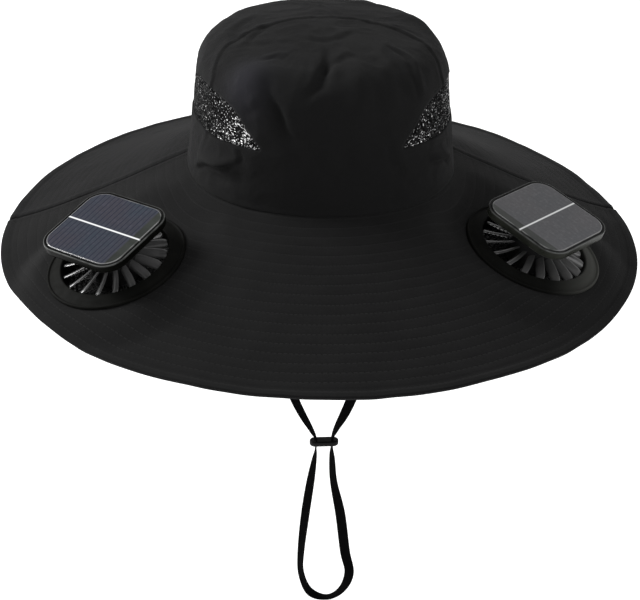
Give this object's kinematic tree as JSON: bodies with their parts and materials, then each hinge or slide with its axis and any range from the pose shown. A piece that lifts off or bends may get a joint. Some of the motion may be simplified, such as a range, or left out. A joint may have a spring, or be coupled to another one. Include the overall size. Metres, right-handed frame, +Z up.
{
  "type": "solar fan hat",
  "caption": "Wide-brimmed sewn hat with net side windows, fans let into the brim under square solar panels, and a hanging chin strap with a slider.",
  "frame": {"origin": "centre of the head opening, on the level of the seam between the crown and the brim", "axes": "+Z up through the crown, -Y to the hat's front, +X to the right of someone who faces the front"},
  "size_m": [0.444, 0.4444, 0.4871],
  "materials": {
    "dark_cloth": "woven, matte",
    "net": "open net, matte",
    "dark_plastic": "satin",
    "gloss_plastic": "polished",
    "panel_tray": "clear resin over a grey backing",
    "solar_cell": "glossy resin",
    "strap_webbing": "woven ribbon",
    "slider_plastic": "satin"
  },
  "bodies": {
    "hat": {"crown_front": "dark_cloth", "crown_back": "dark_cloth", "vent_left": "net", "vent_right": "net", "brim_front": "dark_cloth", "brim_rear": "dark_cloth", "fan_ring_left": "dark_plastic", "fan_ring_right": "dark_plastic", "fan_post_left": "dark_plastic", "fan_post_right": "dark_plastic", "solar_frame_left": "panel_tray", "solar_frame_right": "panel_tray", "solar_cell_left": "solar_cell", "solar_cell_right": "solar_cell", "chin_strap": "strap_webbing", "strap_slider": "slider_plastic"},
    "left_impeller": {"impeller_left": "gloss_plastic"},
    "right_impeller": {"impeller_right": "gloss_plastic"}
  },
  "joints": [
    {"name": "fan_left_spin", "type": "hinge", "parent": "hat", "child": "left_impeller", "pos_m": [-0.13989, -0.08829, -0.03304], "axis": [-0.2649, -0.1592, 0.9511], "continuous": true},
    {"name": "fan_right_spin", "type": "hinge", "parent": "hat", "child": "right_impeller", "pos_m": [0.13587, -0.08276, -0.03317], "axis": [0.2711, -0.1484, 0.9511], "continuous": true}
  ]
}
